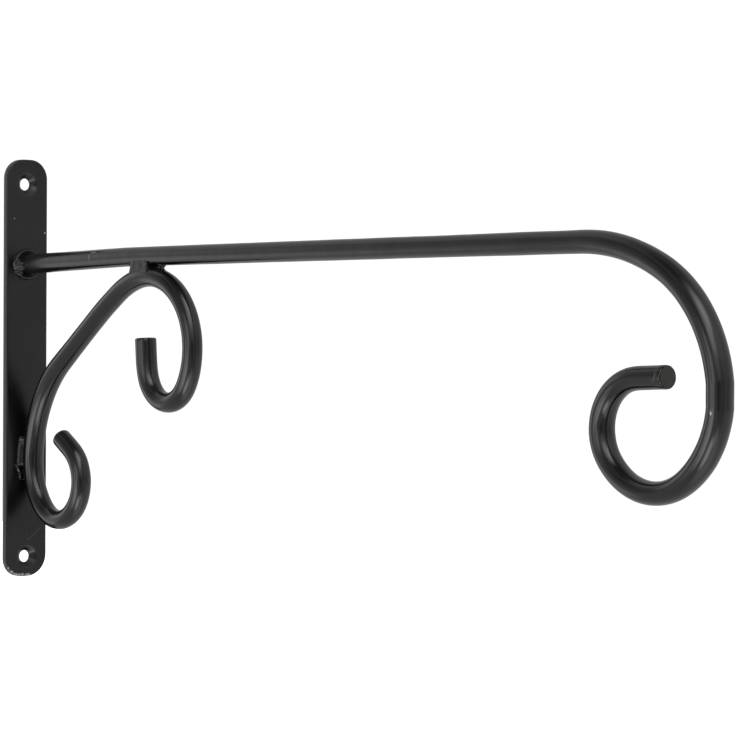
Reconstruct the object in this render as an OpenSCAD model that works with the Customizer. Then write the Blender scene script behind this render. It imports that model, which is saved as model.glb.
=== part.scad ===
// Wall bracket for a hanging lantern: a flat back plate, a round rod arm that curls into a hook, and a round
// rod brace with a scroll at each end. The pieces are welded together.
// Origin: centre of the plate's back face, on the wall. +X points away from the wall, +Z up, +Y across.

/* [Back plate] */
// Height of the plate
plate_h = 176; // [160:1:220]
// Width of the plate, across the wall
plate_w = 20; // [18:0.5:30]
// Thickness of the plate
plate_t = 3; // [2.5:0.5:6]
// Radius of the plate's four corners
plate_corner_r = 7.5; // [2:0.5:8.5]

/* [Screw holes] */
// Diameter of each screw hole
screw_d = 5; // [4.5:0.1:6.5]
// Diameter of the countersink at the front face
countersink_d = 9; // [7.5:0.1:10]
// Included angle of the countersink
countersink_angle = 90; // [82:1:100]
// Distance from the plate's top end to the upper hole
upper_hole_inset = 10.4; // [8:0.1:20]
// Distance from the plate's bottom end to the lower hole
lower_hole_inset = 8.1; // [7:0.1:20]

/* [Rod stock] */
// Diameter of the arm's and the brace's rod
rod_d = 8; // [6:0.5:10]
// Chamfer on the cut ends of the rods
end_chamfer = 0.5; // [0.2:0.1:1]

/* [Arm] */
// Height of the arm's level stretch above the plate's centre
arm_z = 45.5; // [40:0.5:60]
// Angle at which the arm rises from the plate
arm_rise = 1.3; // [0.5:0.1:3]
// Radius of the slight bend that ends the rise
arm_bend_r = 300; // [150:10:600]
// Length of level arm between that bend and the crown of the brace
level_lead = 9.3; // [4:0.1:20]
// Distance from the wall to the start of the hook
arm_reach = 338.5; // [250:0.5:450]

/* [Hook] */
// Centre line radius of the hook's bend at the end of the arm
hook_top_r = 80.5; // [74:0.5:88]
// Centre line radius at the front of the hook
hook_front_r = 48.7; // [46:0.1:52]
// Centre line radius at the bottom, where the lantern hangs
hook_seat_r = 33.4; // [31:0.1:36]
// Centre line radius at the back of the hook
hook_back_r = 25.9; // [24:0.1:28]
// Centre line radius just before the tip
hook_tip_r = 16.8; // [15:0.1:19]
// Turn of the bend at the end of the arm, in degrees
hook_top_turn = 27; // [22:1:32]
// Turn at the front of the hook
hook_front_turn = 57; // [52:1:62]
// Turn at the bottom of the hook
hook_seat_turn = 62; // [57:1:67]
// Turn at the back of the hook
hook_back_turn = 88; // [83:1:93]
// Whole turn of the hook, from the arm to the tip
hook_turn = 358; // [345:1:365]
// Straight length at the hook's tip
hook_tip_len = 14; // [8:0.5:18]

/* [Brace] */
// Depth of the brace's foot below the plate's centre
foot_drop = 39.5; // [35:0.5:55]
// Centre line radius of the bend from the foot to the diagonal
foot_r = 51; // [40:0.5:58]
// Slope of the diagonal, from level
brace_slope = 35.4; // [32:0.1:42]
// Centre line radius of the crown that touches the arm
crown_r = 35.6; // [30:0.1:40]
// Turn of the crown past its highest point
crown_turn = 17; // [12:1:24]
// Centre line radius of the upper scroll's outer side
upper_side_r = 28.5; // [26:0.5:31]
// Turn of the upper scroll's outer side
upper_side_turn = 104; // [98:1:110]
// Centre line radius of the upper scroll's small curl
upper_curl_r = 13.9; // [12:0.1:15.5]
// Whole turn of the upper scroll, from the crown's highest point to its tip
upper_turn = 264; // [255:1:272]
// Straight length at the upper scroll's tip
upper_tip_len = 11.5; // [4:0.5:14]
// Centre line radius of the lower scroll next to the foot
lower_side_r = 25.2; // [23:0.1:27]
// Turn of the lower scroll next to the foot
lower_side_turn = 53; // [47:1:59]
// Centre line radius of the lower scroll's small curl
lower_curl_r = 16.7; // [15:0.1:18]
// Turn of the lower scroll's small curl
lower_curl_turn = 112; // [106:1:118]
// Centre line radius just before the lower scroll's tip
lower_tip_r = 15.4; // [14:0.1:18]
// Whole turn of the lower scroll, from the foot to its tip
lower_turn = 238; // [225:1:245]
// Straight length at the lower scroll's tip
lower_tip_len = 10; // [4:0.5:11]

/* [Welds] */
// Leg of the arm's ring weld on the plate
root_weld_leg = 2.6; // [1.5:0.1:3.5]
// Leg of the arm's ring weld along the rod
root_weld_len = 4.5; // [3:0.1:6]
// Thickness of the ring weld at its knee, where it changes from steep to shallow
root_knee_leg = 1.5; // [0.8:0.1:1.5]
// Distance of that knee from the plate
root_knee_len = 1.6; // [0.8:0.1:2.5]
// Length of each bead along the brace's foot
foot_weld_len = 18.5; // [12:0.5:24]
// Radius of each bead along the brace's foot
foot_weld_r = 2.2; // [1.6:0.1:2.6]
// Height of the beads' middle above the foot
foot_weld_lift = 1.5; // [0:0.1:3]
// Length of the crown weld on the plate's side of the contact
crown_weld_back = 10.5; // [9:0.5:12]
// Width of the crown weld
crown_weld_w = 5.6; // [4:0.1:6]
// Length of the thin strip of it on the hook's side of the contact
crown_strip_len = 11.5; // [9:0.5:12]
// Width of that strip
crown_strip_w = 3; // [2:0.1:4]

/* [Hidden] */
$fn = 128;
paint = "#232325";
weld_paint = "#2f2f31";
rod_r = rod_d / 2;
// How far a cutting shape runs past what it cuts
cut_past = 1;
// How far each step of a rod starts inside the one before, and how much thinner every other step is
step_overlap = 0.3;
step_shrink = 0.03;

// Screw holes, from the plate's ends
upper_hole_z = plate_h / 2 - upper_hole_inset;
lower_hole_z = lower_hole_inset - plate_h / 2;
countersink_depth = (countersink_d - screw_d) / 2 / tan(countersink_angle / 2);

// Thickness of the ring weld where it runs out on the rod
weld_edge = 0.25;
// How far the crown weld runs past the contact at its full width
crown_weld_past = 1.5;
// Radius of the gap in the crown weld where the two rods touch
crown_gap_r = 0.8;

// The brace lies against the plate at its foot and against the arm at its crown
foot_x = plate_t + rod_r;
foot_z = -foot_drop;
crown_z = arm_z - rod_d;
foot_turn = 90 - brace_slope;
foot_bend_rise = foot_r * cos(brace_slope);
crown_bend_rise = crown_r * (1 - cos(brace_slope));
diagonal_len = (crown_z - foot_z - foot_bend_rise - crown_bend_rise) / sin(brace_slope);
foot_bend_run = foot_r * (1 - cos(foot_turn));
crown_bend_run = crown_r * sin(brace_slope);
crown_x = foot_x + foot_bend_run + diagonal_len * cos(brace_slope) + crown_bend_run;

// The arm rises from the plate, then runs level over the crown to the hook
level_x = crown_x - level_lead;
rise_end_x = level_x - arm_bend_r * sin(arm_rise);
rise_end_z = arm_z - arm_bend_r * (1 - cos(arm_rise));
root_z = rise_end_z - (rise_end_x - plate_t) * tan(arm_rise);

// A rod's route is a list of steps: [0, length] is a straight, [radius, turn] a bend to the rod's lower side
arm_steps = [
    [0, rise_end_x / cos(arm_rise)],
    [arm_bend_r, arm_rise],
    [0, arm_reach - level_x],
    [hook_top_r, hook_top_turn],
    [hook_front_r, hook_front_turn],
    [hook_seat_r, hook_seat_turn],
    [hook_back_r, hook_back_turn],
    [hook_tip_r, hook_turn - hook_top_turn - hook_front_turn - hook_seat_turn - hook_back_turn],
    [0, hook_tip_len]
];
upper_steps = [
    [foot_r, foot_turn],
    [0, diagonal_len],
    [crown_r, brace_slope + crown_turn],
    [upper_side_r, upper_side_turn],
    [upper_curl_r, upper_turn - crown_turn - upper_side_turn],
    [0, upper_tip_len]
];
lower_steps = [
    [lower_side_r, lower_side_turn],
    [lower_curl_r, lower_curl_turn],
    [lower_tip_r, lower_turn - lower_side_turn - lower_curl_turn],
    [0, lower_tip_len]
];

// Moves to the end of a bend that starts at the origin along +X
module after_bend(radius, angle) {
    translate([0, 0, -radius])
        rotate([0, angle, 0])
            translate([0, 0, radius])
                children();
}

// One bend of rod with radius r, from just behind the origin, along +X and down
module bend(radius, angle, r) {
    lead = step_overlap / radius * 180 / PI;
    translate([0, 0, -radius])
        rotate([-90, -90, 0])
            rotate_extrude(angle = angle + lead, start = -lead)
                translate([radius, 0])
                    circle(r = r);
}

// A straight piece of rod with radius r from just behind the origin along +X, with a chamfered end
module rod_tip(length, r) {
    rotate([0, 90, 0])
        rotate_extrude()
            polygon([
                [0, -step_overlap],
                [r, -step_overlap],
                [r, length - end_chamfer],
                [r - end_chamfer, length],
                [0, length]
            ]);
}

// The rod along the steps from number i on, starting at the origin along +X; the last step is its tip
module rod(steps, i = 0, thin = false) {
    // every other step is a hair thinner, so that no two steps share a surface
    r = thin ? rod_r - step_shrink : rod_r;
    radius = steps[i][0];
    extent = steps[i][1];
    if (i == len(steps) - 1) {
        rod_tip(extent, r);
    } else if (radius == 0) {
        translate([-step_overlap, 0, 0])
            rotate([0, 90, 0])
                cylinder(h = extent + step_overlap, r = r);
        translate([extent, 0, 0])
            rod(steps, i + 1, !thin);
    } else {
        bend(radius, extent, r);
        after_bend(radius, extent)
            rod(steps, i + 1, !thin);
    }
}

// Outline of the plate, seen from the front
module plate_outline() {
    corner_x = plate_h / 2 - plate_corner_r;
    corner_y = plate_w / 2 - plate_corner_r;
    square([plate_h - 2 * plate_corner_r, plate_w], center = true);
    square([plate_h, plate_w - 2 * plate_corner_r], center = true);
    for (x = [-corner_x, corner_x], y = [-corner_y, corner_y])
        translate([x, y])
            circle(r = plate_corner_r);
}

module screw_hole() {
    rotate([0, 90, 0]) {
        translate([0, 0, -cut_past])
            cylinder(h = plate_t + 2 * cut_past, d = screw_d);
        translate([0, 0, plate_t - countersink_depth])
            cylinder(h = countersink_depth, d1 = screw_d, d2 = countersink_d);
        translate([0, 0, plate_t])
            cylinder(h = cut_past, d = countersink_d);
    }
}

module arm_solid() {
    // the rod's axis meets the wall plane below its height at the plate's face
    translate([0, 0, root_z - plate_t * tan(arm_rise)])
        rotate([0, -arm_rise, 0])
            rod(arm_steps);
}

module brace_solid() {
    translate([foot_x, 0, foot_z]) {
        rotate([0, -90, 0])
            rod(upper_steps);
        rotate([180, 90, 0])
            rod(lower_steps, thin = true);
    }
}

// Everything behind the plate's front face, near the arm and the foot
module behind_plate() {
    translate([plate_t - plate_h, -plate_h / 2, -plate_h])
        cube([plate_h, plate_h, 2 * plate_h]);
}

// One bead along the foot of the brace: side is -1 or 1
module foot_bead(side) {
    half_straight = foot_weld_len / 2 - foot_weld_r;
    difference() {
        translate([plate_t, side * rod_r, foot_z + foot_weld_lift]) {
            translate([0, 0, -half_straight])
                cylinder(h = 2 * half_straight, r = foot_weld_r);
            for (z = [-half_straight, half_straight])
                translate([0, 0, z])
                    sphere(r = foot_weld_r);
        }
        behind_plate();
        brace_solid();
    }
}

module back_plate() {
    color(paint)
        difference() {
            rotate([0, 90, 0])
                linear_extrude(height = plate_t)
                    plate_outline();
            for (z = [lower_hole_z, upper_hole_z])
                translate([0, 0, z])
                    screw_hole();
        }
}

module arm_rod() {
    color(paint)
        difference() {
            arm_solid();
            behind_plate();
        }
}

module brace_rod() {
    color(paint)
        brace_solid();
}

module arm_root_weld() {
    color(weld_paint)
        difference() {
            translate([plate_t, 0, root_z])
                rotate([0, 90, 0])
                    rotate_extrude()
                        polygon([
                            [0, 0],
                            [rod_r + root_weld_leg, 0],
                            [rod_r + root_knee_leg, root_knee_len],
                            [rod_r + weld_edge, root_weld_len],
                            [0, root_weld_len]
                        ]);
            arm_solid();
        }
}

module foot_weld_left() {
    color(weld_paint)
        foot_bead(-1);
}

module foot_weld_right() {
    color(weld_paint)
        foot_bead(1);
}

// Outline of a strip with round ends along +X, from start to end
module strip_outline(start, end, width) {
    translate([start + width / 2, -width / 2])
        square([end - start - width, width]);
    for (x = [start + width / 2, end - width / 2])
        translate([x, 0])
            circle(r = width / 2);
}

module crown_weld() {
    // both rods are cut out of it: it reaches up to the arm's axis, and down by half as much as the brace's
    // axis falls along it
    fall = crown_r - sqrt(crown_r * crown_r - crown_weld_back * crown_weld_back);
    color(weld_paint)
        difference() {
            translate([crown_x, 0, crown_z - fall / 2])
                linear_extrude(height = rod_d + fall / 2) {
                    strip_outline(-crown_weld_back, crown_weld_past, crown_weld_w);
                    strip_outline(-crown_strip_w, crown_strip_len, crown_strip_w);
                }
            arm_solid();
            brace_solid();
            translate([crown_x, 0, crown_z])
                cylinder(h = rod_d, r = crown_gap_r);
        }
}

back_plate();
arm_rod();
brace_rod();
arm_root_weld();
foot_weld_left();
foot_weld_right();
crown_weld();
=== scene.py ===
"""Looks of a lantern wall bracket: bent rods, a flat plate and lumpy welds under satin black paint."""

from collections import namedtuple
import math

import bmesh
import bpy
import numpy as np
from mathutils import Matrix, Vector, geometry, noise


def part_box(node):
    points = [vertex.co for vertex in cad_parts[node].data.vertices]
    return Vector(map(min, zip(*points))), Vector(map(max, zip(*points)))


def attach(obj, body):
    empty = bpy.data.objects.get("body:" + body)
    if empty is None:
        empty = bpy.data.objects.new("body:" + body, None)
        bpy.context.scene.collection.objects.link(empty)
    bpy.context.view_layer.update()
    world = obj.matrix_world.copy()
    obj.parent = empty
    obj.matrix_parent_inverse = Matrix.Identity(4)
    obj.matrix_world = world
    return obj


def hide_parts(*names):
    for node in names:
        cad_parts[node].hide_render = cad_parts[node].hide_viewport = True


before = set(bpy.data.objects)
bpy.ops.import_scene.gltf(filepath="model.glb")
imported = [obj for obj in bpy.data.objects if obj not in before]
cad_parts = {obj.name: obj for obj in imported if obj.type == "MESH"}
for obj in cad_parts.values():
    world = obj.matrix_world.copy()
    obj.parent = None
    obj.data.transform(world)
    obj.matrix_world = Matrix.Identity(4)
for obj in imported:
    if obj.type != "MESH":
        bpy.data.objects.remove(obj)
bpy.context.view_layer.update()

# Sizes taken from the frame, in metres
PLATE_LO, PLATE_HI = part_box("back_plate")
PLATE_T = PLATE_HI.x
PLATE_W = PLATE_HI.y - PLATE_LO.y
PLATE_H = PLATE_HI.z - PLATE_LO.z
ROD_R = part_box("arm_rod")[1].y
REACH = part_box("arm_rod")[1].x
ROOT_WELD_LO, ROOT_WELD_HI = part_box("arm_root_weld")
ROOT_Z = (ROOT_WELD_LO.z + ROOT_WELD_HI.z) / 2
ROOT_WELD_R = (ROOT_WELD_HI.z - ROOT_WELD_LO.z) / 2
FOOT_WELD_LO, FOOT_WELD_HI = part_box("foot_weld_left")

# Plate: corner radii from the lower right one anticlockwise, and how its edges are softened
CORNER_R = (0.0092, 0.0081, 0.0082, 0.0075)
CORNER_STEPS = 14
LONG_EDGE_STEPS = 90
SHORT_EDGE_STEPS = 3
EDGE_INSET = 0.0008
EDGE_DROP = 0.0003
EDGE_STEPS = 6
SIDE_RINGS = (0.66, 0.33)
BACK_EDGE_R = 0.0002
BACK_EDGE_STEPS = 3
FACE_RIM = 0.0004
# Its faces: how far apart their points lie, how near an edge as a share of that, and the share of a hole's
# radius inside which no triangle stays. Then the waves of flat bar: height, size, and the share of the
# plate's thickness from which they count
FRONT_SPACING = 0.0018
BACK_SPACING = 0.004
EDGE_CLEARANCE = 0.55
HOLE_CLEARED = 0.98
WAVE = 0.00002
WAVE_SIZE = 0.011
WAVE_FROM = 0.25

# Screw holes: their places on the plate (y, z), the countersink, and the sections from the front face to the
# back, each with its height above the wall, its radius and how uneven the paint makes it
UPPER_HOLE = (0.0, 0.0776)
LOWER_HOLE = (0.0004, -0.0797)
HOLE_R = 0.0025
SINK_R = 0.0046
SINK_LAND = 0.0009
HOLE_SIDES = 40
HOLE_LUMP_SIZE = 0.0022
HOLE_SECTIONS = [
    (PLATE_T, SINK_R + 0.0008, 0),
    (PLATE_T, SINK_R + 0.0004, 0),
    (PLATE_T - 0.00005, SINK_R + 0.00015, 0.00008),
    (PLATE_T - 0.00025, SINK_R - 0.00008, 0.00012),
    (PLATE_T * 0.78, SINK_R - 0.0007, 0.00034),
    (PLATE_T * 0.6, SINK_R - 0.0012, 0.00038),
    (PLATE_T * 0.42, HOLE_R + 0.0003, 0.00022),
    (SINK_LAND + 0.0001, HOLE_R + 0.00006, 0.0001),
    (SINK_LAND, HOLE_R, 0.00005),
    (SINK_LAND * 0.5, HOLE_R, 0.00003),
    (0.0, HOLE_R + 0.00015, 0),
    (0.0, HOLE_R + 0.0006, 0),
]

# Rods: how finely they are swept, and how far bends and sections ease into the next ones
STATION = 0.0006
RING_SIDES = 56
EASE = 0.003
SECTION_EASE = 0.010
# Their surface: height and size of each layer of lumps, and how far the hook stays inside the CAD's reach
BAR_LUMPS = ((0.00007, 0.018), (0.000025, 0.005))
REACH_SPARE = 0.00003
# Their cut ends: the rounded edge, the rings across the face as shares of its radius, its dents, and how far
# in it lies as a share of the dents
END_ROUND = 0.0006
END_ROUND_STEPS = 5
END_SHARES = (0.88, 0.7, 0.5, 0.3, 0.12)
END_DENT = 0.00012
END_DENT_SIZE = 0.0014
END_SUNK = 0.3
# Lumps of paint near the hook's cut end: their height, distance from the tip, reach and size
DRIP_HEIGHT = 0.0005
DRIP_FROM_TIP = 0.0018
DRIP_REACH = 0.0020
DRIP_SIZE = 0.0016

# Arm and brace, in metres and degrees
ARM_Z = 0.0455
ARM_RISE = 1.3
ARM_BEND_R = 0.300
LEVEL_LEAD = 0.0093
ARM_REACH = 0.3385
FOOT_Z = -0.0395
FOOT_R = 0.051
FOOT_LEAN = 0.0007
BRACE_SLOPE = 35.4
CROWN_R = 0.0356

# Where each piece's run of seeds for its noise begins
ARM_SEED = 3
PLATE_SEED = 5
BRACE_SEED = 8
UPPER_HOLE_SEED = 11
LOWER_HOLE_SEED = 16
ROOT_SEED = 21
LEFT_BEAD_SEED = 31
RIGHT_BEAD_SEED = 36
CROWN_SEED = 41
ROOT_SPATTER_SEED = 51
CROWN_SPATTER_SEED = 61

# Camera: the view that the photograph has, in its frame of 736 x 736 pixels
FRAME_PX = 736
FOCAL_PX = 2900
SENSOR = 36.0
CAMERA_AT = Vector((1.03477, -0.67753, 0.0115))
CAMERA_YAW = 50.0
CAMERA_PITCH = 0.505
CAMERA_ROLL = 0.284
CLIP_START = 0.05
CLIP_END = 50


def cos_deg(angle):
    """Cosine of an angle in degrees."""
    return math.cos(math.radians(angle))


def sin_deg(angle):
    """Sine of an angle in degrees."""
    return math.sin(math.radians(angle))


# Where the brace's crown touches the arm, and where the arm's rise ends
CROWN_Z = ARM_Z - 2 * ROD_R
FOOT_X = PLATE_T + ROD_R
DIAGONAL_RISE = CROWN_Z - FOOT_Z - FOOT_R * cos_deg(BRACE_SLOPE) - CROWN_R * (1 - cos_deg(BRACE_SLOPE))
DIAGONAL = DIAGONAL_RISE / sin_deg(BRACE_SLOPE)
CROWN_X = (FOOT_X + FOOT_R * (1 - sin_deg(BRACE_SLOPE)) + DIAGONAL * cos_deg(BRACE_SLOPE)
           + CROWN_R * sin_deg(BRACE_SLOPE))
LEVEL_X = CROWN_X - LEVEL_LEAD
RISE = (LEVEL_X - ARM_BEND_R * sin_deg(ARM_RISE) - PLATE_T) / cos_deg(ARM_RISE)
LEVEL = ARM_REACH - LEVEL_X

# The arm's rise begins with two short straights, in which its section settles
RISE_FIRST = 0.020
RISE_SECOND = 0.014

# A rod is a list of steps: (0, length) is a straight and (radius, turn) a bend. The other two numbers are its
# section against round stock, in the plane of the bend and across it: bending makes it a little oval.
ARM_STEPS = [
    (0, RISE_FIRST, 1.040, 1.02),
    (0, RISE_SECOND, 1.010, 1.0),
    (0, RISE - (RISE_FIRST + RISE_SECOND), 0.980, 1.0),
    (ARM_BEND_R, ARM_RISE, 0.970, 1.0),
    (0, LEVEL * 0.5, 0.970, 1.0),
    (0, LEVEL * 0.35, 0.975, 1.0),
    (0, LEVEL * 0.15, 1.0, 1.04),
    (0.0805, 27, 1.04, 1.12),
    (0.0487, 57, 1.06, 1.24),
    (0.0334, 62, 1.05, 1.22),
    (0.0259, 88, 0.995, 1.18),
    (0.0168, 62, 1.04, 1.18),
    (0.0168, 62, 1.02, 1.09),
    (0, 0.014, 1.0, 1.02),
]
LOWER_STEPS = [
    (0, 0.0090, 1.0, 1.0),
    (0.0154, 73, 1.0, 1.02),
    (0.0167, 112, 1.0, 1.04),
    (0.0252, 53, 1.06, 1.07),
]
UPPER_STEPS = [
    (FOOT_R, 90 - BRACE_SLOPE, 1.10, 1.10),
    (0, DIAGONAL * 0.3, 1.02, 1.03),
    (0, DIAGONAL * 0.7, 0.99, 1.0),
    (CROWN_R, BRACE_SLOPE + 17, 1.0, 1.0),
    (0.0285, 104, 1.0, 1.0),
    (0.0139, 133, 1.01, 1.07),
    (0.034, 12, 1.04, 1.08),
    (0, 0.0085, 1.05, 1.08),
]
LOWER_TURN = sum(turn for radius, turn, *_ in LOWER_STEPS if radius)

# The lean of the brace's foot to one side: how far along the rod from the foot it begins and ends
LEAN_BEFORE = 0.045
LEAN_AFTER = 0.110
# How far the brace lies below its true line: amount, how far along the rod from the foot, and reach
SAGS = [(0.0007, 0.106, 0.022), (-0.0002, 0.078, 0.030)]

Stations = namedtuple("Stations", "points angles inner across aside")


def running_mean(values, width):
    """Values at the stations of a path, averaged over about width metres."""
    half = max(1, round(width / STATION / 2))
    padded = np.pad(values, half, mode="edge")
    return np.convolve(padded, np.ones(2 * half + 1) / (2 * half + 1), mode="valid")


def path(steps, heading, anchor, anchor_step=0):
    """A clockwise path in the XZ plane that passes anchor as anchor_step starts."""
    lengths, turns, inner, across = [], [], [], []
    anchor_at = 0
    for number, (radius, extent, in_plane, out_plane) in enumerate(steps):
        if number == anchor_step:
            anchor_at = len(lengths)
        length = radius * math.radians(extent) if radius else extent
        count = max(2, round(length / STATION))
        lengths += [length / count] * count
        turns += [math.radians(extent) / count if radius else 0.0] * count
        inner += [in_plane] * count
        across += [out_plane] * count
    turns = running_mean(np.array(turns), 2 * EASE)
    inner = running_mean(np.array(inner), 2 * SECTION_EASE)
    across = running_mean(np.array(across), 2 * SECTION_EASE)
    angles = math.radians(heading) - np.concatenate([[0], np.cumsum(turns)])
    middles = (angles[:-1] + angles[1:]) / 2
    moves = np.array(lengths)[:, None] * np.stack([np.cos(middles), np.sin(middles)], axis=1)
    points = np.concatenate([[(0, 0)], np.cumsum(moves, axis=0)])
    points += np.array(anchor) - points[anchor_at]
    inner = np.append(inner, inner[-1])
    across = np.append(across, across[-1])
    return Stations(points, angles, inner, across, np.zeros(len(points)))


def smooth(share):
    """0 to 1 for shares from 0 to 1, level at both ends."""
    share = np.clip(share, 0, 1)
    return share * share * (3 - 2 * share)


def bump(value, middle, reach):
    """1 at the middle, falling smoothly to 0 at the distance reach."""
    return float(smooth(1 - abs(value - middle) / reach))


def clamp(value):
    """The value, held between 0 and 1."""
    return min(1.0, max(0.0, value))


def mix(low, high, share):
    """From low at share 0 to high at share 1."""
    return low + (high - low) * share


def hand_bent(stations, foot):
    """The brace's stations with its lean to one side round the station called foot, and its sag."""
    along = (np.arange(len(stations.points)) - foot) * STATION
    aside = FOOT_LEAN * smooth(np.where(along < 0, 1 + along / LEAN_BEFORE, 1 - along / LEAN_AFTER))
    sag = sum(amount * smooth(1 - np.abs(along - middle) / reach) for amount, middle, reach in SAGS)
    down = np.stack([np.sin(stations.angles), -np.cos(stations.angles)], axis=1)
    return stations._replace(aside=aside, points=stations.points + down * sag[:, None])


def quarter(share):
    """A quarter circle: 1 at share 0, falling to 0 at share 1 and beyond."""
    return math.sqrt(max(0.0, 1 - max(0.0, share) ** 2))


def quarter_turn(steps):
    """The angles from 0 to a right angle in equal steps, in radians."""
    return [math.pi / 2 * k / steps for k in range(steps + 1)]


def lumps(point, size, seed):
    """Smooth noise from -1 to 1 whose lumps are about size metres across."""
    return noise.noise(point / size + Vector((seed, 2.3 * seed, -1.7 * seed)))


def uneven(point, layers, seed):
    """Lumps of several sizes added up. Each layer is a height and a size."""
    return sum(height * lumps(point, size, seed + number) for number, (height, size) in enumerate(layers))


def new_object(name, bm, materials):
    """The smooth-shaded object made of bm, with its materials in order."""
    mesh = bpy.data.meshes.new(name)
    bmesh.ops.recalc_face_normals(bm, faces=bm.faces)
    bm.to_mesh(mesh)
    bm.free()
    mesh.polygons.foreach_set("use_smooth", [True] * len(mesh.polygons))
    obj = bpy.data.objects.new(name, mesh)
    bpy.context.scene.collection.objects.link(obj)
    for material in materials:
        mesh.materials.append(material)
    return obj


def join_rings(bm, rings, closed=False):
    """Quads between neighbouring rings of vertices, and from the last to the first if closed."""
    pairs = list(zip(rings, rings[1:]))
    if closed:
        pairs.append((rings[-1], rings[0]))
    for a, b in pairs:
        count = len(a)
        for k in range(count):
            n = (k + 1) % count
            bm.faces.new((a[k], a[n], b[n], b[k]))


def ring(stations, number, less=0.0, share=1.0):
    """The corners of a rod's section at one station, drawn in by less metres and then scaled by share."""
    angle = stations.angles[number]
    up = Vector((-math.sin(angle), 0, math.cos(angle)))
    side = Vector((0, 1, 0))
    x, z = stations.points[number]
    centre = Vector((x, stations.aside[number], z))
    inner = (ROD_R * stations.inner[number] - less) * share
    across = (ROD_R * stations.across[number] - less) * share
    corners = []
    for k in range(RING_SIDES):
        turn = 2 * math.pi * k / RING_SIDES
        corners.append(centre + up * (inner * math.cos(turn)) + side * (across * math.sin(turn)))
    return corners


def end_rings(stations, number, outward, seed):
    """Sections that round a cut end off and then close it.

    outward is 1 at the end of the path and -1 at its start.
    """
    angle = stations.angles[number]
    along = Vector((math.cos(angle), 0, math.sin(angle))) * outward
    sections = []
    for t in quarter_turn(END_ROUND_STEPS)[1:]:
        corners = ring(stations, number, END_ROUND * (1 - math.cos(t)))
        sections.append([c - along * END_ROUND * (1 - math.sin(t)) for c in corners])
    for share in END_SHARES:
        corners = ring(stations, number, END_ROUND, share)
        sections.append([c + along * END_DENT * (lumps(c, END_DENT_SIZE, seed) - END_SUNK) for c in corners])
    return sections


def rod(name, stations, start_cap, seed, drips, materials):
    """A rod swept along its stations, a little uneven as bent and painted bar is.

    start_cap says whether the first end shows, and drips is how high the paint stands in lumps round the last
    end. The materials are those of the side and of the cut ends.
    """
    last = len(stations.points) - 1
    trim = math.ceil(END_ROUND / STATION) + 1
    rows = [ring(stations, i) for i in range(trim if start_cap else 0, last - trim + 1)]
    rows += end_rings(stations, last, 1, seed)
    if start_cap:
        rows = end_rings(stations, 0, -1, seed + 3)[::-1] + rows
    bm = bmesh.new()
    made = []
    tip = Vector((stations.points[last][0], stations.aside[last], stations.points[last][1]))
    for corners in rows:
        middle = sum(corners, Vector()) / len(corners)
        drip = drips * bump((middle - tip).length, DRIP_FROM_TIP, DRIP_REACH)
        swollen = []
        for c in corners:
            away = (c - middle).normalized()
            high = uneven(c, BAR_LUMPS, seed)
            swollen.append(c + away * (high + drip * lumps(c, DRIP_SIZE, seed + len(BAR_LUMPS))))
        # bar that a bend has flattened is wider, but it reaches no further out
        excess = max(0.0, max(c.x for c in swollen) - REACH + REACH_SPARE)
        made.append([bm.verts.new(c - Vector((excess, 0, 0))) for c in swollen])
    join_rings(bm, made)
    for rim in (made[0], made[-1]):
        bm.faces.new(rim)
    obj = new_object(name, bm, materials)
    # the two closing faces come last, so they count as part of the last end
    cap_rows = len(END_SHARES)
    total = len(made) - 1
    for p in obj.data.polygons:
        row = p.index // RING_SIDES
        at_end = row >= total - cap_rows
        at_start = start_cap and row < cap_rows
        p.material_index = 1 if at_end or at_start else 0
    return obj


def outline(inset):
    """The plate's outline drawn in by inset: points (y, z) anticlockwise from its lower right corner."""
    signs = [(1, -1, -90), (1, 1, 0), (-1, 1, 90), (-1, -1, 180)]
    corners = []
    for (sy, sz, start), r in zip(signs, CORNER_R):
        corners.append((sy * (PLATE_W / 2 - r), sz * (PLATE_H / 2 - r), start, r - inset))
    points = []
    for number, (y, z, start, r) in enumerate(corners):
        for k in range(CORNER_STEPS + 1):
            angle = start + 90 * k / CORNER_STEPS
            points.append((y + r * cos_deg(angle), z + r * sin_deg(angle)))
        next_y, next_z, next_start, next_r = corners[(number + 1) % len(corners)]
        here = Vector(points[-1])
        there = Vector((next_y + next_r * cos_deg(next_start), next_z + next_r * sin_deg(next_start)))
        steps = LONG_EDGE_STEPS if abs(there.y - here.y) > PLATE_W else SHORT_EDGE_STEPS
        for k in range(1, steps):
            points.append(tuple(here.lerp(there, k / steps)))
    return points


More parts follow.
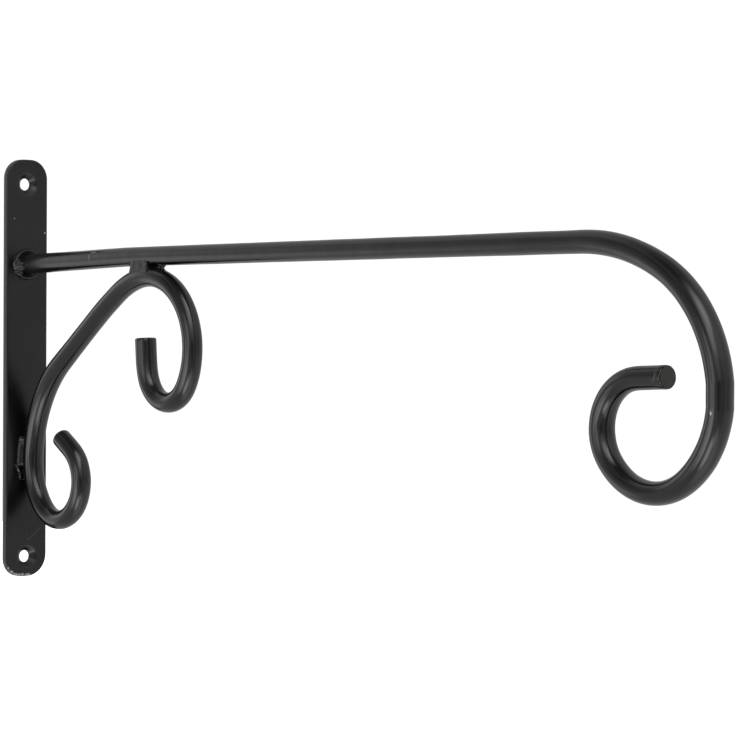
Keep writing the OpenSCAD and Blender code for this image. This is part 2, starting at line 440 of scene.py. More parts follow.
def flat_fill(bm, x, outer, holes, spacing):
    """Triangles of about even size between an outer ring of vertices and the rings of the holes, all at x."""
    loops = [outer] + holes
    verts = [v for loop in loops for v in loop]
    flat = [Vector((v.co.y, v.co.z)) for v in verts]
    edges = []
    start = 0
    for loop in loops:
        count = len(loop)
        edges += [(start + k, start + (k + 1) % count) for k in range(count)]
        start += count
    gaps = []
    for loop in holes:
        middle = sum((Vector((v.co.y, v.co.z)) for v in loop), Vector((0, 0))) / len(loop)
        gaps.append((middle, max((Vector((v.co.y, v.co.z)) - middle).length for v in loop)))
    half_w = max(v.co.y for v in outer)
    half_h = max(v.co.z for v in outer)
    corner_r = max(CORNER_R) - (PLATE_W / 2 - half_w)
    clear = spacing * EDGE_CLEARANCE
    rows = int(2 * half_h / spacing)
    cols = int(2 * half_w / spacing)
    for i in range(1, rows):
        shift = 0.25 if i % 2 else -0.25
        for j in range(1, cols):
            at = Vector((-half_w + 2 * half_w * (j + shift) / cols, -half_h + 2 * half_h * i / rows))
            past = math.hypot(max(abs(at.x) - half_w + corner_r, 0), max(abs(at.y) - half_h + corner_r, 0))
            if past > corner_r - clear:
                continue
            if any((at - middle).length < reach + clear for middle, reach in gaps):
                continue
            flat.append(at)
            verts.append(bm.verts.new((x, at.x, at.y)))
    _, _, faces, *_ = geometry.delaunay_2d_cdt(flat, edges, [], 0, 1e-9)
    for face in faces:
        centre = sum((flat[k] for k in face), Vector((0, 0))) / len(face)
        # a triangle with its centre in a hole would close that hole, and is left out
        if all((centre - middle).length > reach * HOLE_CLEARED for middle, reach in gaps):
            bm.faces.new([verts[k] for k in face])


def hole_ring(bm, x, hole, radius, seed, rough):
    """One ring of a screw hole, a little uneven with paint."""
    verts = []
    for k in range(HOLE_SIDES):
        angle = 2 * math.pi * k / HOLE_SIDES
        away = Vector((0, math.cos(angle), math.sin(angle)))
        at = Vector((x, *hole)) + away * radius
        verts.append(bm.verts.new(at + away * rough * lumps(at, HOLE_LUMP_SIZE, seed)))
    return verts


def plate_profile():
    """The plate's edge, from the front face round to the back: height above the wall and inset."""
    profile = [(PLATE_T, EDGE_INSET + FACE_RIM)]
    for t in quarter_turn(EDGE_STEPS):
        profile.append((PLATE_T - EDGE_DROP * (1 - math.cos(t)), EDGE_INSET * (1 - math.sin(t))))
    profile += [(PLATE_T * share, 0) for share in SIDE_RINGS]
    for t in quarter_turn(BACK_EDGE_STEPS):
        profile.append((BACK_EDGE_R * (1 - math.sin(t)), BACK_EDGE_R * (1 - math.cos(t))))
    profile.append((0.0, BACK_EDGE_R + FACE_RIM))
    return profile


def plate(name, materials):
    """The back plate, with soft edges, countersunk holes and the slight waves of flat bar."""
    bm = bmesh.new()
    rings = [[bm.verts.new((x, y, z)) for y, z in outline(inset)] for x, inset in plate_profile()]
    join_rings(bm, rings)
    front_holes, back_holes = [], []
    for seed, hole in ((UPPER_HOLE_SEED, UPPER_HOLE), (LOWER_HOLE_SEED, LOWER_HOLE)):
        made = [hole_ring(bm, x, hole, radius, seed, rough) for x, radius, rough in HOLE_SECTIONS]
        join_rings(bm, made)
        front_holes.append(made[0])
        back_holes.append(made[-1])
    flat_fill(bm, PLATE_T, rings[0], front_holes, FRONT_SPACING)
    flat_fill(bm, 0.0, rings[-1], back_holes, BACK_SPACING)
    for v in bm.verts:
        if v.co.x > PLATE_T * WAVE_FROM:
            v.co.x += WAVE * lumps(v.co, WAVE_SIZE, PLATE_SEED) * (v.co.x / PLATE_T) - WAVE
    return new_object(name, bm, materials)


# How lumpy a bead of spatter is, and the size of its lumps, as shares of the bead
SPATTER_LUMP = 0.30
SPATTER_LUMP_SIZE = 0.8


def spatter(bm, spots, seed):
    """Small beads of weld: each spot is a centre, and its size along X, Y and Z."""
    for number, (centre, size) in enumerate(spots):
        made = bmesh.ops.create_icosphere(bm, subdivisions=3, radius=1.0)
        for v in made["verts"]:
            grown = 1 + SPATTER_LUMP * lumps(v.co, SPATTER_LUMP_SIZE, seed + number)
            v.co = Vector(centre) + Vector([a * b * grown for a, b in zip(v.co, size)])


# The weld round the arm's root, from inside the plate over the bead to inside the rod: height above the plate
# and share of the weld's radius, where it is low and where the last stop of the torch left it high
ROOT_LOW = [
    (-0.0004, 0.99), (0.0, 1.0), (0.0006, 0.985), (0.0012, 0.95), (0.0014, 0.90), (0.0011, 0.84),
    (0.0009, 0.79), (0.0008, 0.74), (0.0007, 0.70), (0.0006, 0.66), (0.0005, 0.625), (0.0004, 0.52),
    (-0.0004, 0.52),
]
ROOT_HIGH = [
    (-0.0004, 0.98), (0.0, 0.99), (0.0008, 0.965), (0.0014, 0.925), (0.0019, 0.885), (0.0023, 0.84),
    (0.0027, 0.80), (0.0030, 0.755), (0.0033, 0.71), (0.0036, 0.665), (0.0038, 0.62), (0.0038, 0.52),
    (-0.0004, 0.52),
]
ROOT_SECTIONS = 132
# Round the arm, in degrees from +Y, each as a middle and a reach: where the weld is high, where it is rough,
# where it spreads to the left and where its rim stands up
ROOT_HIGH_AT = (193, 47)
ROOT_ROUGH_AT = (265, 50)
ROOT_SPREAD_AT = (188, 95)
ROOT_RIM_AT = (147, 48)
# How steeply it rises to its high part, how rough it is elsewhere, its lumps (height and size of each layer),
# the share of them that stands away from the plate, how far in their middle lies, and the share of the radius
# inside which the rod covers the weld
ROOT_HIGH_GAIN = 1.5
ROOT_LEAST_ROUGH = 0.35
ROOT_LUMPS = ((0.00040, 0.0022), (0.00016, 0.0013))
ROOT_LUMPS_FORWARD = 0.8
ROOT_LUMPS_SUNK = 0.0001
ROOT_COVERED = 0.56
# The spread to the left and the share of the radius from which it counts, and the rim that stands up
ROOT_SPREAD = 0.0012
ROOT_SPREAD_FROM = 0.6
ROOT_RIM = 0.0009
ROOT_RIM_SHARE = (0.93, 0.10)
# The dents across the high part: distance below the arm's middle and reach, then depth and how they wander
ROOT_DENTS = [(0.0019, 0.0006), (0.0037, 0.0007)]
ROOT_DENT = 0.0003
ROOT_WANDER = 0.0009
ROOT_WANDER_SIZE = 0.0030
# Spatter beside it: place across and above the arm's middle, and size
ROOT_SPATTER = [
    (-0.0078, -0.0063, (0.0003, 0.0005, 0.0004)),
    (-0.0046, -0.0068, (0.0004, 0.0009, 0.0004)),
    (-0.0030, -0.0069, (0.0004, 0.0006, 0.0004)),
    (-0.0002, -0.0068, (0.0003, 0.0007, 0.0003)),
    (0.0040, 0.0072, (0.0002, 0.0009, 0.0003)),
]
SPATTER_LIFT = 0.0001


def ring_weld(name, materials):
    """The weld round the arm's root: a thin disc with a crisp rim, high and rippled at the lower left."""
    bm = bmesh.new()
    around = []
    for k in range(ROOT_SECTIONS):
        degrees = 360 * k / ROOT_SECTIONS
        out = Vector((0, cos_deg(degrees), sin_deg(degrees)))
        high = min(1.0, ROOT_HIGH_GAIN * bump(degrees, *ROOT_HIGH_AT))
        rough = mix(ROOT_LEAST_ROUGH, 1, max(high, bump(degrees, *ROOT_ROUGH_AT)))
        spread = ROOT_SPREAD * bump(degrees, *ROOT_SPREAD_AT)
        rim = ROOT_RIM * bump(degrees, *ROOT_RIM_AT)
        loop = []
        for (low_x, low_share), (high_x, high_share) in zip(ROOT_LOW, ROOT_HIGH):
            x = mix(low_x, high_x, high)
            share = mix(low_share, high_share, high)
            at = Vector((PLATE_T + x, 0, ROOT_Z)) + out * (ROOT_WELD_R * share)
            at.y -= spread * max(0.0, share - ROOT_SPREAD_FROM) / (1 - ROOT_SPREAD_FROM)
            at.x += rim * bump(share, *ROOT_RIM_SHARE)
            if x > 0 and share > ROOT_COVERED:
                wave = uneven(at, ROOT_LUMPS, ROOT_SEED)
                depth = ROOT_Z - at.z + ROOT_WANDER * lumps(at, ROOT_WANDER_SIZE, ROOT_SEED + 3)
                dent = ROOT_DENT * high * sum(bump(depth, middle, reach) for middle, reach in ROOT_DENTS)
                at += (out * (wave * rough - dent - ROOT_LUMPS_SUNK)
                       + Vector((wave * rough * ROOT_LUMPS_FORWARD - dent, 0, 0)))
            loop.append(bm.verts.new(at))
        around.append(loop)
    join_rings(bm, around, closed=True)
    spots = [((PLATE_T + SPATTER_LIFT, y, ROOT_Z + z), size) for y, z, size in ROOT_SPATTER]
    spatter(bm, spots, ROOT_SPATTER_SEED)
    return new_object(name, bm, materials)


# A bead beside the foot of the brace, from its toe on the plate to inside the rod: height above the plate,
# and distance from the crest of the bead, positive towards the rod. From BEAD_COVERED on, the rod covers it
BEAD = [
    (-0.0003, -0.00075), (0.0001, -0.00070), (0.0005, -0.00055), (0.0010, -0.00035), (0.00140, -0.00010),
    (0.00150, 0.00020), (0.00162, 0.00060), (0.00190, 0.00110), (0.00225, 0.00170), (0.00265, 0.00240),
    (0.00310, 0.00330), (0.0006, 0.00380), (-0.0003, 0.00380),
]
BEAD_COVERED = 0.0035
BEAD_SECTIONS = 110
# Its crest: distance from the rod's middle at the top, and how that grows downwards
CREST_TOP = 0.0038
CREST_DRIFT = 0.060
# The blob at its lower end: where it begins, over what height, the bulge there, how it narrows below and over
# what height, and the share of the ridge's height that it has
BLOB_Z = -0.0412
BLOB_EDGE = 0.0008
BLOB_BULGE = 0.0006
BLOB_BULGE_REACH = 0.0012
BLOB_NARROWS = 0.0009
BLOB_NARROWS_OVER = 0.003
BLOB_FLAT = 0.28
# Both ends of the bead: how they round off, how far the crest draws in and the share of the width left there
BEAD_END_POWER = 0.7
BEAD_END_DRAWN = 0.0009
BEAD_END_WIDTH = 0.4
# How rough the ridge is, the rough patch below its top (depth and reach), and the lumps away from the plate
# and sideways (height and size of each layer)
RIDGE_ROUGH = 0.12
TOP_ROUGH_DEPTH = 0.0008
TOP_ROUGH_REACH = 0.0022
BEAD_LUMPS = ((0.00055, 0.0021), (0.00030, 0.0010))
BEAD_SIDE_LUMP = 0.00040
BEAD_SIDE_LUMP_SIZE = 0.0022


def foot_weld(name, side, seed, materials):
    """A bead along the brace's foot: a narrow ridge with a steep outer flank, and a crumpled blob below."""
    bm = bmesh.new()
    low, high = FOOT_WELD_LO.z, FOOT_WELD_HI.z
    shift = FOOT_LEAN if side > 0 else 0.0
    rows = []
    for i in range(BEAD_SECTIONS + 1):
        z = low + (high - low) * i / BEAD_SECTIONS
        u = 2 * i / BEAD_SECTIONS - 1
        swell = max(0.0, 1 - u ** 4) ** BEAD_END_POWER
        ridge = clamp((z - BLOB_Z) / BLOB_EDGE + 0.5)
        narrowed = clamp((BLOB_Z - z) / BLOB_NARROWS_OVER)
        width = mix(BEAD_END_WIDTH, 1, swell)
        crest = CREST_TOP + CREST_DRIFT * (high - max(z, BLOB_Z))
        crest += BLOB_BULGE * bump(z, BLOB_Z, BLOB_BULGE_REACH)
        crest -= BLOB_NARROWS * (1 - ridge) * narrowed + BEAD_END_DRAWN * (1 - swell)
        rough = mix(RIDGE_ROUGH, 1, max(1 - ridge, bump(z, high - TOP_ROUGH_DEPTH, TOP_ROUGH_REACH)))
        row = []
        for height, inward in BEAD:
            flat = height * swell * mix(BLOB_FLAT, 1, ridge)
            at = Vector((PLATE_T + flat, side * (crest - inward * width) + shift, z))
            if height > 0 and inward < BEAD_COVERED:
                at.x += uneven(at, BEAD_LUMPS, seed) * swell * rough
                sideways = lumps(at, BEAD_SIDE_LUMP_SIZE, seed + len(BEAD_LUMPS))
                at.y += side * BEAD_SIDE_LUMP * sideways * swell * rough
            row.append(bm.verts.new(at))
        rows.append(row)
    join_rings(bm, rows)
    bm.faces.new(rows[0])
    bm.faces.new(rows[-1])
    return new_object(name, bm, materials)


# The weld at the crown. Its full part reaches from the slanted left end, given at the arm and at the brace,
# to an abrupt step. Past the step a thin web lies deep in the groove between the rods. The first four numbers
# are along X from the crown. Then come half the width, the reach up and down, and the levels on each side
CROWN_LEFT_AT_ARM = -0.0078
CROWN_LEFT_AT_BRACE = -0.0130
CROWN_STEP = 0.0044
CROWN_RIGHT = 0.0114
CROWN_FULL = 0.0038
CROWN_DEPTH = 0.0038
CROWN_LEVELS = 14
# Its lumps across and along it: height and size
CROWN_ACROSS = (0.00006, 0.0025)
CROWN_ALONG = (0.00010, 0.0030)
# The full part: its number of sections, the power that bends its left end, half its least width, the share of
# its length over which the left end is rounded, and where the step begins, its length and what it keeps
FULL_SECTIONS = 40
FULL_SLANT = 0.33
FULL_LEAST = 0.0003
FULL_ROUNDED = 0.20
FULL_STEP_FROM = 0.955
FULL_STEP_OVER = 0.045
FULL_STEP_KEPT = 0.15
# What the rods hide of it above and below a share of its height, and the hollow along its middle
FULL_HIDDEN = 0.0024
FULL_HIDDEN_FROM = 0.62
FULL_HOLLOW = 0.00022
# The web: its number of sections, how far it reaches back under the full part, half its least width, what it
# has more before its end, its greatest addition and how that grows with the height, and where its end begins
WEB_SECTIONS = 20
WEB_BACK = 0.0008
WEB_LEAST = 0.0001
WEB_MORE = 0.0002
WEB_WIDEST = 0.0020
WEB_WIDENS = 1.3
WEB_END_FROM = 0.9
WEB_END_OVER = 0.1
# Spatter on it: place along X, across and above the seam, and size
CROWN_SPATTER = [
    (CROWN_STEP - 0.0002, -0.0033, 0.0008, (0.0005, 0.0005, 0.0006)),
    (CROWN_STEP - 0.0006, -0.0034, -0.0016, (0.0006, 0.0004, 0.0005)),
    (-0.0080, -0.0027, 0.0012, (0.0004, 0.0006, 0.0010)),
    (CROWN_STEP + 0.0052, -0.0010, -0.0003, (0.0005, 0.0004, 0.0009)),
]


def crown_section(x_share, x_of, half_of):
    """One closed section of the crown's weld, up its front and down its back.

    x_of gives a point's place along X, and half_of half the width there. Both take the share of the length
    and the level, from -1 at the bottom to 1 at the top, and half_of takes the height above the middle too.
    """
    across, across_size = CROWN_ACROSS
    along, along_size = CROWN_ALONG
    row = []
    for side in (-1, 1):
        for k in range(CROWN_LEVELS + 1):
            t = 2 * k / CROWN_LEVELS - 1
            t = t if side < 0 else -t
            x = x_of(x_share, t)
            gap = CROWN_R - math.sqrt(CROWN_R ** 2 - x ** 2)
            middle = ARM_Z - ROD_R - gap / 2
            rise = t * (CROWN_DEPTH + gap / 2)
            at = Vector((CROWN_X + x, side * half_of(x_share, t, rise), middle + rise))
            at.y += side * across * lumps(at, across_size, CROWN_SEED)
            at.x += along * lumps(at, along_size, CROWN_SEED + 1)
            row.append(at)
    return row


def full_x(share, t):
    """Where the full part of the crown's weld is along X: its left end slants, its right end is the step."""
    left = mix(CROWN_LEFT_AT_BRACE, CROWN_LEFT_AT_ARM, ((t + 1) / 2) ** FULL_SLANT)
    return mix(left, CROWN_STEP, share)


def full_half(share, t, rise):
    """Half the width of the full part: thick up to the step, a little hollow, and hidden by both rods."""
    rounded = quarter(1 - share / FULL_ROUNDED)
    stepped = quarter((share - FULL_STEP_FROM) / FULL_STEP_OVER)
    hidden = FULL_HIDDEN * max(0.0, abs(t) - FULL_HIDDEN_FROM)
    hollow = FULL_HOLLOW * (1 - t * t)
    kept = mix(FULL_STEP_KEPT, 1, stepped)
    return FULL_LEAST + (CROWN_FULL - FULL_LEAST - hidden - hollow) * rounded * kept


def web_x(share, t):
    """Where the web is along X: it starts inside the full part."""
    return CROWN_STEP - WEB_BACK + (CROWN_RIGHT - CROWN_STEP + WEB_BACK) * share


def web_half(share, t, rise):
    """Half the web's width: least in the middle of its height, wider towards both rods, thin at its end."""
    end = quarter((share - WEB_END_FROM) / WEB_END_OVER)
    return WEB_LEAST + (WEB_MORE + min(WEB_WIDEST, WEB_WIDENS * abs(rise))) * end


def crown_weld(name, materials):
    """The weld between crown and arm: full on the plate's side, a thin deep web on the other."""
    bm = bmesh.new()
    for x_of, half_of, steps in ((full_x, full_half, FULL_SECTIONS), (web_x, web_half, WEB_SECTIONS)):
        shares = [(1 - math.cos(math.pi * k / steps)) / 2 for k in range(steps + 1)]
        rows = [[bm.verts.new(at) for at in crown_section(share, x_of, half_of)] for share in shares]
        join_rings(bm, rows)
        bm.faces.new(rows[0])
        bm.faces.new(rows[-1])
    seam = ARM_Z - ROD_R
    spots = [((CROWN_X + x, y, seam + z), size) for x, y, z, size in CROWN_SPATTER]
    spatter(bm, spots, CROWN_SPATTER_SEED)
    return new_object(name, bm, materials)


def node(tree, kind, **inputs):
    """A shader node with its inputs set by name, or by number as i0, i1 and so on.

    A socket is linked and a value is stored.
    """
    made = tree.nodes.new(kind)
    for key, value in inputs.items():
        if key in ("operation", "data_type", "interpolation_type"):
            setattr(made, key, value)
            continue
        by_number = key[0] == "i" and key[1:].isdigit()
        socket = made.inputs[int(key[1:])] if by_number else made.inputs[key.replace("_", " ")]
        if isinstance(value, bpy.types.NodeSocket):
            tree.links.new(value, socket)
        else:
            socket.default_value = value
    return made


def multiply_add(tree, value, factor, addend):
    """value * factor + addend, where each is a number or a socket."""
    return node(tree, "ShaderNodeMath", operation="MULTIPLY_ADD", i0=value, i1=factor, i2=addend).outputs[0]


def colour_mix(tree, share, below, above):
    """The colour below where share is 0, and above where it is 1."""
    return node(tree, "ShaderNodeMix", data_type="RGBA", i0=share, i6=below, i7=above).outputs[2]


def ramp(tree, factor, low, high):
    """Factor stretched so that low becomes 0 and high becomes 1."""
    return node(tree, "ShaderNodeMapRange", Value=factor, From_Min=low, From_Max=high).outputs["Result"]


# The edge of a mark: how far the fine noise moves it, and where it lies as a share of the mark's size
MARK_RAGGED = 0.9
MARK_EDGE = 1.2


def blotch(tree, place, centre, size, soft, ragged):
    """1 in an ellipsoid with a ragged edge, and 0 outside it. A larger soft widens the edge."""
    apart = node(tree, "ShaderNodeVectorMath", operation="SUBTRACT", i0=place, i1=centre).outputs[0]
    scaled = node(tree, "ShaderNodeVectorMath", operation="DIVIDE", i0=apart, i1=size).outputs[0]
    away = node(tree, "ShaderNodeVectorMath", operation="LENGTH", i0=scaled).outputs["Value"]
    edge = multiply_add(tree, ragged, MARK_RAGGED, away)
    return ramp(tree, edge, MARK_EDGE + soft, MARK_EDGE)


# Paint: its broad and fine noise, how much darker and lighter than the base its streaks are and over which
# part of the noise, how both noises change the roughness, and the fine share and the depth of its skin
BROAD_NOISE = {"Scale": 60.0, "Detail": 3.0, "Roughness": 0.55}
FINE_NOISE = {"Scale": 500.0, "Detail": 4.0, "Roughness": 0.6}
STREAK_SHADES = (0.75, 1.5)
STREAK_RANGE = (0.3, 0.7)
BROAD_GLOSS = 0.14
FINE_GLOSS = 0.08
GLOSS_SHIFT = 0.10
SKIN_FINE = 0.25
SKIN_DEPTH = 0.0004


def paint(name, base, roughness, skin, marks=()):
    """Satin black paint with faint streaks, an uneven gloss and the skin of brushed or dipped paint.

    Each mark is a centre, a size, how soft its edge is, a colour and a roughness.
    """
    material = bpy.data.materials.new(name)
    material.use_nodes = True
    tree = material.node_tree
    shader = tree.nodes["Principled BSDF"]
    place = tree.nodes.new("ShaderNodeTexCoord").outputs["Object"]
    broad = node(tree, "ShaderNodeTexNoise", Vector=place, **BROAD_NOISE).outputs["Fac"]
    fine = node(tree, "ShaderNodeTexNoise", Vector=place, **FINE_NOISE).outputs["Fac"]
    dark, light = [tuple(shade * c for c in base) + (1,) for shade in STREAK_SHADES]
    colour = colour_mix(tree, ramp(tree, broad, *STREAK_RANGE), dark, light)
    gloss = multiply_add(tree, broad, BROAD_GLOSS, roughness - GLOSS_SHIFT)
    gloss = multiply_add(tree, fine, FINE_GLOSS, gloss)
    for centre, size, soft, tint, dull in marks:
        inside = blotch(tree, place, centre, size, soft, fine)
        colour = colour_mix(tree, inside, colour, (*tint, 1))
        gloss = node(tree, "ShaderNodeMix", data_type="FLOAT", i0=inside, i2=gloss, i3=dull).outputs[0]
    tree.links.new(colour, shader.inputs["Base Color"])
    tree.links.new(gloss, shader.inputs["Roughness"])
    height = multiply_add(tree, fine, SKIN_FINE, broad)
    relief = node(tree, "ShaderNodeBump", Strength=skin, Distance=SKIN_DEPTH, Height=height)
    tree.links.new(relief.outputs["Normal"], shader.inputs["Normal"])
    return material


# Paint colours, and the colours of the marks on the paint
BLACK = (0.0060, 0.0060, 0.0064)
PLATE_BLACK = (0.0035, 0.0035, 0.0038)
END_BROWN = (0.020, 0.019, 0.016)
WORN = (0.26, 0.26, 0.25)
FAINT = (0.036, 0.036, 0.036)
SCUFFED = (0.075, 0.075, 0.075)
STREAK_GREY = (0.55, 0.55, 0.54)
SHADED = (0.001, 0.001, 0.001)
SHARP = 0.25
# Finishes: colour, roughness and how strongly the skin of the paint shows
PLATE_FINISH = (PLATE_BLACK, 0.27, 0.06)
ROD_FINISH = (BLACK, 0.15, 0.06)
END_FINISH = (END_BROWN, 0.6, 0.5)
WELD_FINISH = (BLACK, 0.22, 0.15)
# Where paint has worn off the plate's lower left edge, and its few specks: y, z, then the size along each
EDGE_WEAR = [
    (-0.0090, -0.0846, 0.0006, 0.0009), (-0.0074, -0.0861, 0.0010, 0.0008),
    (-0.0060, -0.0868, 0.0006, 0.0005), (-0.0050, -0.0871, 0.0007, 0.0007),
    (-0.0036, -0.0873, 0.0010, 0.0006), (-0.0018, -0.0872, 0.0008, 0.0006),
    (-0.0002, -0.0873, 0.0005, 0.0004), (0.0011, -0.0873, 0.0010, 0.0005),
    (-0.0065, 0.0630, 0.0003, 0.0003), (0.0088, 0.0573, 0.0005, 0.0004),
    (0.0043, -0.0793, 0.0004, 0.0006), (0.0040, -0.0806, 0.0004, 0.0004),
]
WEAR_DEPTH = 0.0006
# Dull paint at the lower side of each countersink: place from the hole's middle, and size
SINK_DULL_AT = (0.0012, -0.0032)
SINK_DULL_SIZE = (0.0024, 0.0030, 0.0018)
# The scratch on the plate, a row of dashes
SCRATCH_FROM = Vector((PLATE_T, 0.0009, -0.0726))
SCRATCH_TO = Vector((PLATE_T, 0.0068, -0.0680))
SCRATCH_DASHES = 7
SCRATCH_SIZE = (0.0004, 0.0006, 0.00035)
# A bright grey streak inside the hook
BRIGHT_STREAK_AT = (0.4016, -0.0042, -0.0105)


def plate_marks():
    """The marks on the plate: specks on its lower edge and face, dull countersinks and one faint scratch."""
    marks = [((PLATE_T, y, z), (WEAR_DEPTH, wide, high), SHARP, WORN, 0.5) for y, z, wide, high in EDGE_WEAR]
    for y, z in (UPPER_HOLE, LOWER_HOLE):
        at = (PLATE_T * 0.6, y + SINK_DULL_AT[0], z + SINK_DULL_AT[1])
        marks.append((at, SINK_DULL_SIZE, 0.6, BLACK, 0.6))
    for k in range(SCRATCH_DASHES):
        at = SCRATCH_FROM.lerp(SCRATCH_TO, k / (SCRATCH_DASHES - 1))
        marks.append((at, SCRATCH_SIZE, SHARP, FAINT, 0.4))
    return marks


def rod_marks(tip_x, tip_z):
    """The arm's marks: a bright grey streak in the hook, dull paint and a scuff near the root, and some round
    the tip.
    """
    rim = tip_x - 0.0004
    # the bright grey streak, the dull root, the two strokes of the scuff, two faint specks of the rim and its
    # shaded side
    return [
        (BRIGHT_STREAK_AT, (0.0008, 0.0007, 0.0025), SHARP, STREAK_GREY, 0.5),
        ((PLATE_T + 0.006, 0, ROOT_Z), (0.0065, 0.007, 0.007), 1.4, BLACK, 0.42),
        ((0.0560, -0.0032, ROOT_Z + 0.0038), (0.0024, 0.0014, 0.0005), SHARP, SCUFFED, 0.3),
        ((0.0542, -0.0039, ROOT_Z + 0.0020), (0.0005, 0.0012, 0.0016), SHARP, SCUFFED, 0.3),
        ((rim, -0.0037, tip_z + 0.0031), (0.0004, 0.0007, 0.0006), SHARP, FAINT, 0.3),
        ((rim, -0.0038, tip_z - 0.0029), (0.0005, 0.0008, 0.0006), SHARP, FAINT, 0.3),
        ((rim - 0.0004, -0.0048, tip_z - 0.0006), (0.0008, 0.0008, 0.0020), SHARP, SHADED, 0.6),
    ]


def build_bracket():
    """All pieces of the bracket, each with the node that it stands for and its slot."""
    arm_stations = path(ARM_STEPS, ARM_RISE, (PLATE_T, ROOT_Z))
    plate_paint = paint("plate_paint", *PLATE_FINISH, plate_marks())
    rod_paint = paint("rod_paint", *ROD_FINISH, rod_marks(*arm_stations.points[-1]))
    end_paint = paint("cut_end_paint", *END_FINISH)
    weld_paint = paint("weld_paint", *WELD_FINISH)
    brace_stations = path(LOWER_STEPS + UPPER_STEPS, 90 + LOWER_TURN, (FOOT_X, FOOT_Z), len(LOWER_STEPS))
    foot = int(np.argmin(np.hypot(*(brace_stations.points - (FOOT_X, FOOT_Z)).T)))
    brace_stations = hand_bent(brace_stations, foot)
    rod_materials = [rod_paint, end_paint]
    return [
        (plate("plate_bar", [plate_paint]), "back_plate", "plate_paint"),
        (rod("arm_bar", arm_stations, False, ARM_SEED, DRIP_HEIGHT, rod_materials), "arm_rod", "rod_paint"),
        (rod("brace_bar", brace_stations, True, BRACE_SEED, 0.0, rod_materials), "brace_rod", "rod_paint"),
        (ring_weld("arm_weld_bead", [weld_paint]), "arm_root_weld", "weld_paint"),
        (foot_weld("foot_bead_left", -1, LEFT_BEAD_SEED, [weld_paint]), "foot_weld_left", "weld_paint"),
        (foot_weld("foot_bead_right", 1, RIGHT_BEAD_SEED, [weld_paint]), "foot_weld_right", "weld_paint"),
        (crown_weld("crown_bead", [weld_paint]), "crown_weld", "weld_paint"),
    ]


def camera_axes():
    """The camera's right, up and back directions."""
    right = Vector((cos_deg(CAMERA_YAW), sin_deg(CAMERA_YAW), 0))
    back = Vector((sin_deg(CAMERA_YAW), -cos_deg(CAMERA_YAW), 0))
    up = Vector((0, 0, 1))
    tipped_back = back * cos_deg(CAMERA_PITCH) + up * sin_deg(CAMERA_PITCH)
    tipped_up = up * cos_deg(CAMERA_PITCH) - back * sin_deg(CAMERA_PITCH)
    rolled_right = right * cos_deg(CAMERA_ROLL) + tipped_up * sin_deg(CAMERA_ROLL)
    rolled_up = tipped_up * cos_deg(CAMERA_ROLL) - right * sin_deg(CAMERA_ROLL)
    return rolled_right, rolled_up, tipped_back


def camera():
    """The photograph's viewpoint."""
    data = bpy.data.cameras.new("camera")
    data.sensor_fit = "HORIZONTAL"
    data.sensor_width = SENSOR
    data.lens = FOCAL_PX * SENSOR / FRAME_PX
    data.clip_start = CLIP_START
    data.clip_end = CLIP_END
    made = bpy.data.objects.new("camera", data)
    made.matrix_world = Matrix.Translation(CAMERA_AT) @ Matrix(camera_axes()).transposed().to_4x4()
    bpy.context.scene.collection.objects.link(made)
    bpy.context.scene.camera = made


# The floor lies so deep that a camera well under the bracket is still above it
FLOOR_HALF = 40.0
FLOOR_Z = -3.0
FLOOR_GREY = 0.9
FLOOR_ROUGHNESS = 0.9
FLOOR_GLOW = 0.9
# The soft light above the bracket
SOFTBOX_AT = (0.3, -0.4, 2.2)
SOFTBOX_SIZE = 1.6
SOFTBOX_WATTS = 15
# White behind the object, and the tint and least brightness of what surrounds it
BEHIND = 1.05
STUDIO_TINT = (0.985, 0.985, 1, 1)
STUDIO_LEAST = 0.1
# The studio, as brightness by direction: azimuth from the camera's side of the object, positive to the right,
# and elevation, then the half widths where a patch is full and where it has faded, and what it adds
STUDIO_BASE = 0.70
STUDIO_PATCHES = [
    (5, 47, 7, 27, 1.65),
    (26, 59, 3, 21, 1.7),
    (52, 42, 6, 28, 0.3),
    (6, 27, 4, 25, 0.6),
    (-52, -18, 4, 20, 2.6),
    (-74, -6, 3, 16, 1.5),
    (-45, 9, 3, 19, 1.35),
    (-36, -5, 2, 10, -0.4),
    (-4, 1, 6, 20, -0.3),
    (-12, -44, 4, 18, 3.0),
    (15, -35, 2, 12, 1.0),
    (25, -58, 8, 34, 0.65),
    (22, -2, 12, 38, -0.24),
    (-55, 50, 15, 40, -0.34),
    (-94, 24, 8, 28, -0.3),
    (0, 90, 10, 38, -0.45),
    (-119, 10, 5, 20, 0.65),
    (-119, -16, 5, 20, 0.65),
    (90, -45, 15, 60, 0.16),
    (180, 20, 25, 62, -0.18),
    (74, 0, 5, 16, -0.25),
]


def direction(azimuth, elevation):
    """A direction in the frame, from an azimuth about the camera's side and an elevation."""
    turn = azimuth + CAMERA_YAW - 90
    level = cos_deg(elevation)
    return Vector((level * cos_deg(turn), level * sin_deg(turn), sin_deg(elevation)))


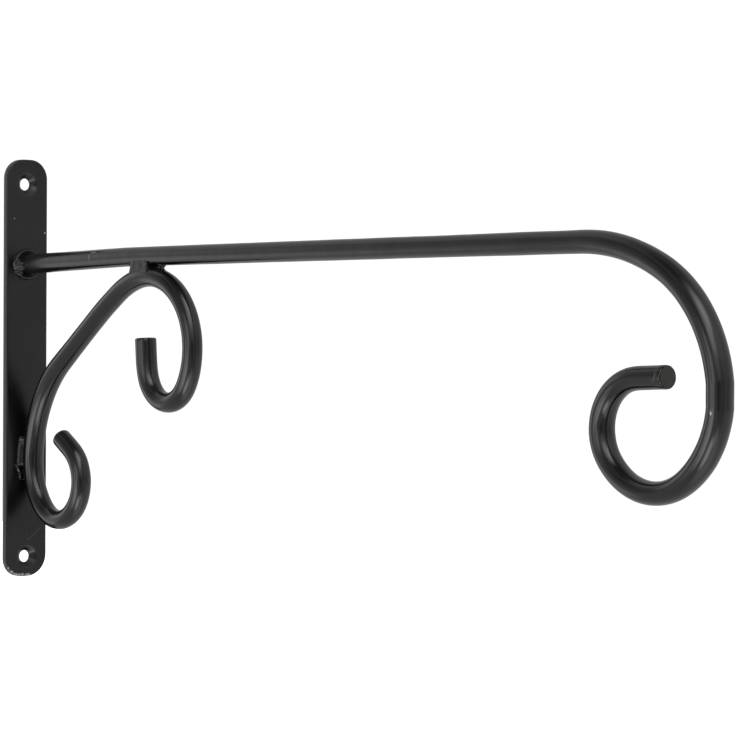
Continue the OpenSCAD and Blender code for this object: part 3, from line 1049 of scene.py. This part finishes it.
def pale_floor():
    """A wide pale floor that neither reflects in the paint nor lights it."""
    mesh = bpy.data.meshes.new("floor")
    sides = [(-1, -1), (1, -1), (1, 1), (-1, 1)]
    corners = [(FLOOR_HALF * sx, FLOOR_HALF * sy, FLOOR_Z) for sx, sy in sides]
    mesh.from_pydata(corners, [], [(0, 1, 2, 3)])
    floor = bpy.data.objects.new("floor", mesh)
    bpy.context.scene.collection.objects.link(floor)
    material = bpy.data.materials.new("pale_floor")
    material.use_nodes = True
    shader = material.node_tree.nodes["Principled BSDF"]
    shader.inputs["Base Color"].default_value = (FLOOR_GREY, FLOOR_GREY, FLOOR_GREY, 1)
    shader.inputs["Roughness"].default_value = FLOOR_ROUGHNESS
    shader.inputs["Emission Color"].default_value = (1, 1, 1, 1)
    shader.inputs["Emission Strength"].default_value = FLOOR_GLOW
    mesh.materials.append(material)
    floor.visible_glossy = False
    floor.visible_diffuse = False


def soft_light():
    """A large soft light above the bracket, which doesn't show in the paint."""
    light = bpy.data.lights.new("softbox", "AREA")
    light.size = SOFTBOX_SIZE
    light.energy = SOFTBOX_WATTS
    softbox = bpy.data.objects.new("softbox", light)
    softbox.location = SOFTBOX_AT
    softbox.visible_glossy = False
    bpy.context.scene.collection.objects.link(softbox)


def surround():
    """The studio's soft light from all sides, with white behind the object for the camera."""
    world = bpy.data.worlds.new("studio")
    bpy.context.scene.world = world
    world.use_nodes = True
    tree = world.node_tree
    tree.nodes.clear()
    towards = tree.nodes.new("ShaderNodeTexCoord").outputs["Generated"]
    total = STUDIO_BASE
    for azimuth, elevation, full, faded, gain in STUDIO_PATCHES:
        axis = direction(azimuth, elevation)
        dot = node(tree, "ShaderNodeVectorMath", operation="DOT_PRODUCT", i0=towards, i1=axis)
        fade = node(tree, "ShaderNodeMapRange", interpolation_type="SMOOTHSTEP", Value=dot.outputs["Value"],
                    From_Min=cos_deg(faded), From_Max=cos_deg(full))
        total = multiply_add(tree, fade.outputs["Result"], gain, total)
    total = node(tree, "ShaderNodeMath", operation="MAXIMUM", i0=total, i1=STUDIO_LEAST).outputs[0]
    seen = node(tree, "ShaderNodeBackground", Color=(1, 1, 1, 1), Strength=BEHIND).outputs[0]
    lit = node(tree, "ShaderNodeBackground", Color=STUDIO_TINT, Strength=total).outputs[0]
    ray = tree.nodes.new("ShaderNodeLightPath")
    both = node(tree, "ShaderNodeMixShader", Fac=ray.outputs["Is Camera Ray"], i1=lit, i2=seen)
    out = tree.nodes.new("ShaderNodeOutputWorld")
    tree.links.new(both.outputs[0], out.inputs["Surface"])


camera()
pale_floor()
soft_light()
surround()
bpy.context.scene.view_settings.view_transform = "Standard"
for piece, stands_for, slot in build_bracket():
    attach(piece, "root")
    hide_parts(stands_for)
